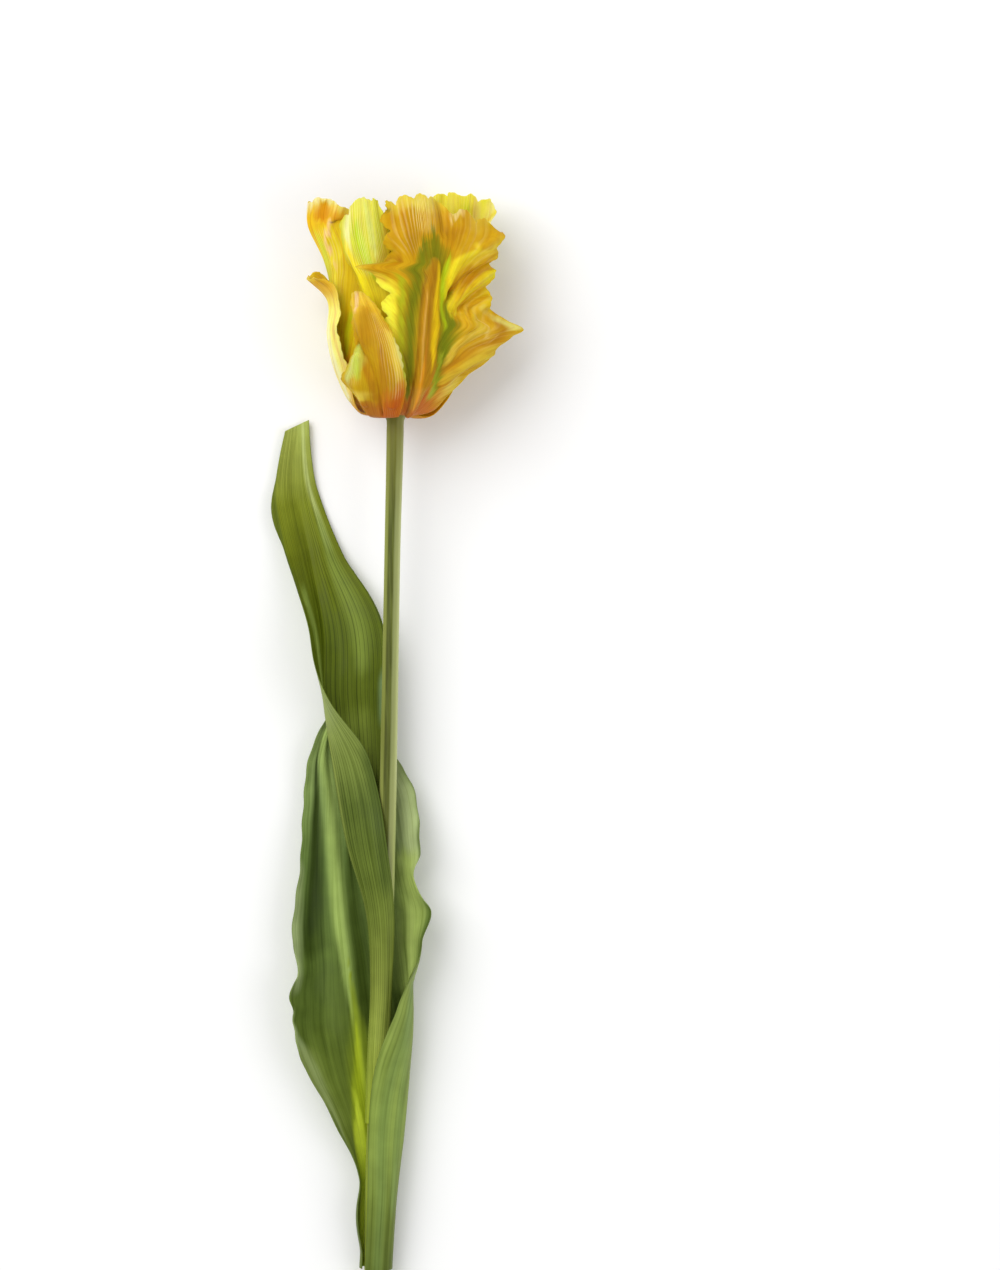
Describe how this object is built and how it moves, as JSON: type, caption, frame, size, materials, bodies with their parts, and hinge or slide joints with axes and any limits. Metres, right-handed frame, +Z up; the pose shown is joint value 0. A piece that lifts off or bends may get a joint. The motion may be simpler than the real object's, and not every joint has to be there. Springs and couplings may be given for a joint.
{
  "type": "parrot tulip",
  "caption": "Cut parrot tulip lying on a surface, with a fringed yellow and orange bloom streaked with green on a long bare stem clasped by broad waved leaves.",
  "frame": {"origin": "middle of the flower's footprint, on the surface it lies on", "axes": "+Y along the stem from its cut end to the bloom, +Z up from the surface, +X across the flower to the right as seen from above"},
  "size_m": [0.0994, 0.454, 0.0594],
  "materials": {
    "stem": "smooth waxy plant skin",
    "leaf": "satin leaf with a waxy bloom",
    "petal": "silky petal",
    "pistil": "smooth moist plant skin",
    "stamen": "dull and powdery"
  },
  "bodies": {
    "root": {"stem": "stem", "lower_leaf": "leaf", "upper_leaf": "leaf", "petal_front_right": "petal", "petal_front_left": "petal", "petal_right": "petal", "petal_left": "petal", "petal_back_left": "petal", "petal_back_right": "petal", "petal_short_left": "petal", "petal_short_front": "petal", "pistil": "pistil", "stamens": "stamen"}
  },
  "joints": []
}
